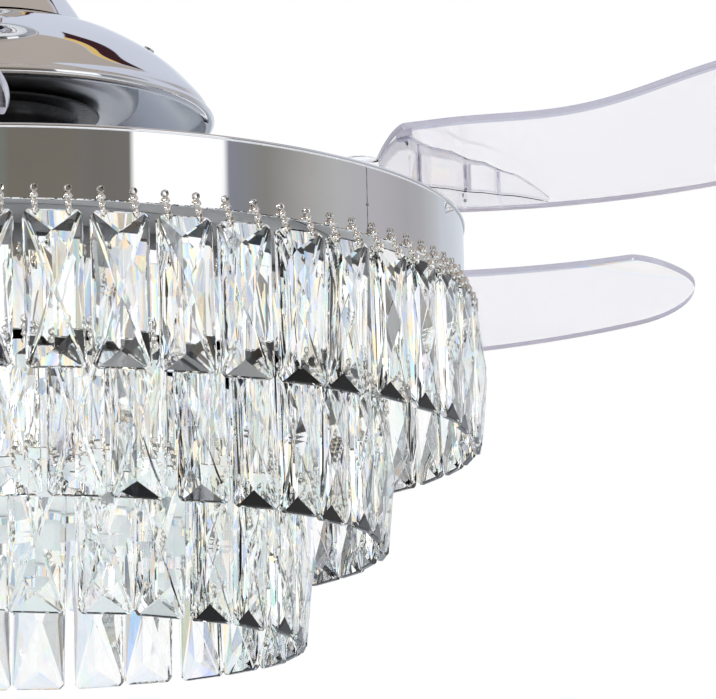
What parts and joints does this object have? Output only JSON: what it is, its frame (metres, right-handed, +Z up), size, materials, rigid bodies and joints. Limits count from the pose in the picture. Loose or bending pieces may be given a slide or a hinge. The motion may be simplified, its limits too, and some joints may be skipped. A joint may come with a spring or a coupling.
{
  "type": "chandelier ceiling fan",
  "caption": "Ceiling fan with clear curved blades that fold over a round chrome lamp hung with tiers of flat cut-crystal prisms.",
  "frame": {"origin": "on the fan's axis at the ceiling, in the plane of the bracket's upper face", "axes": "+Z up out of the ceiling bracket, -Y towards the camera of the picture, +X to its right"},
  "size_m": [0.987, 0.987, 0.562],
  "materials": {
    "chrome": "mirror-polished chrome plate",
    "steel": "zinc-plated steel",
    "motor_black": "black satin powder coat",
    "white_metal": "white satin powder coat",
    "stator": "laminated core with varnished windings",
    "clear_plastic": "clear polycarbonate with a faint lilac tint and polished edges",
    "crystal": "clear cut crystal glass on nickel hooks and wire",
    "board": "white solder mask on a metal-cored light board",
    "terminal": "black ABS",
    "diffuser": "frosted acrylic"
  },
  "bodies": {
    "mount": {"ceiling_bracket": "steel", "canopy": "chrome", "canopy_screw_1": "chrome", "canopy_screw_2": "chrome", "receiver_box": "terminal"},
    "hanging": {"hanger_ball": "motor_black", "ball_pin": "steel", "downrod": "chrome", "coupling_cover": "chrome", "yoke": "motor_black", "yoke_pin": "steel", "motor_dome": "chrome", "dome_screw_1": "chrome", "motor_shaft": "steel", "stator": "stator", "bearing_lower": "steel", "bearing_upper": "steel", "lamp_plate": "white_metal", "lamp_nut": "steel", "led_board": "board", "led_driver": "white_metal", "diffuser": "diffuser", "outer_band": "chrome", "middle_band": "chrome", "inner_band": "chrome", "outer_crystals": "crystal", "middle_crystals": "crystal", "inner_crystals": "crystal"},
    "rotor": {"rotor_upper_shell": "motor_black", "rotor_lower_shell": "motor_black", "dish_screw_1": "steel", "dish_screw_2": "steel", "rotor_hub": "steel", "blade_carrier": "steel", "pivot_pin_1": "steel", "pivot_pin_2": "steel", "pivot_pin_3": "steel", "pivot_pin_4": "steel", "return_spring": "steel"},
    "sync": {"sync_gear": "steel"},
    "wing_1": {"blade_1": "clear_plastic", "blade_holder_1": "clear_plastic", "blade_screw_1a": "steel", "blade_screw_1b": "steel", "pinion_1": "steel"},
    "wing_2": {"blade_2": "clear_plastic", "blade_holder_2": "clear_plastic", "blade_screw_2a": "steel", "blade_screw_2b": "steel", "pinion_2": "steel"},
    "wing_3": {"blade_3": "clear_plastic", "blade_holder_3": "clear_plastic", "blade_screw_3a": "steel", "blade_screw_3b": "steel", "pinion_3": "steel"},
    "wing_4": {"blade_4": "clear_plastic", "blade_holder_4": "clear_plastic", "blade_screw_4a": "steel", "blade_screw_4b": "steel", "pinion_4": "steel"}
  },
  "joints": [
    {"name": "ball_tilt", "type": "hinge", "parent": "mount", "child": "hanging", "pos_m": [0, 0, -0.032], "axis": [1, 0, 0], "range_deg": [-4, 4]},
    {"name": "rotor_spin", "type": "hinge", "parent": "hanging", "child": "rotor", "pos_m": [0, 0, -0.26], "axis": [0, 0, 1], "continuous": true},
    {"name": "blade_1_fold", "type": "hinge", "parent": "rotor", "child": "wing_1", "pos_m": [0.19095, -0.05948, -0.32], "axis": [0, 0, 1], "range_deg": [-118, 0]},
    {"name": "blade_2_fold", "type": "hinge", "parent": "rotor", "child": "wing_2", "pos_m": [0.05948, 0.19095, -0.32], "axis": [0, 0, 1], "range_deg": [-118, 0]},
    {"name": "blade_3_fold", "type": "hinge", "parent": "rotor", "child": "wing_3", "pos_m": [-0.19095, 0.05948, -0.32], "axis": [0, 0, 1], "range_deg": [-118, 0]},
    {"name": "blade_4_fold", "type": "hinge", "parent": "rotor", "child": "wing_4", "pos_m": [-0.05948, -0.19095, -0.32], "axis": [0, 0, 1], "range_deg": [-118, 0]},
    {"name": "sync_turn", "type": "hinge", "parent": "rotor", "child": "sync", "pos_m": [0, 0, -0.3275], "axis": [0, 0, 1], "range_deg": [0, 16.9]}
  ],
  "couplings": [
    {"joint": "blade_2_fold", "follows": "blade_1_fold", "ratio": 1},
    {"joint": "blade_3_fold", "follows": "blade_1_fold", "ratio": 1},
    {"joint": "blade_4_fold", "follows": "blade_1_fold", "ratio": 1},
    {"joint": "sync_turn", "follows": "blade_1_fold", "ratio": -0.14286}
  ]
}
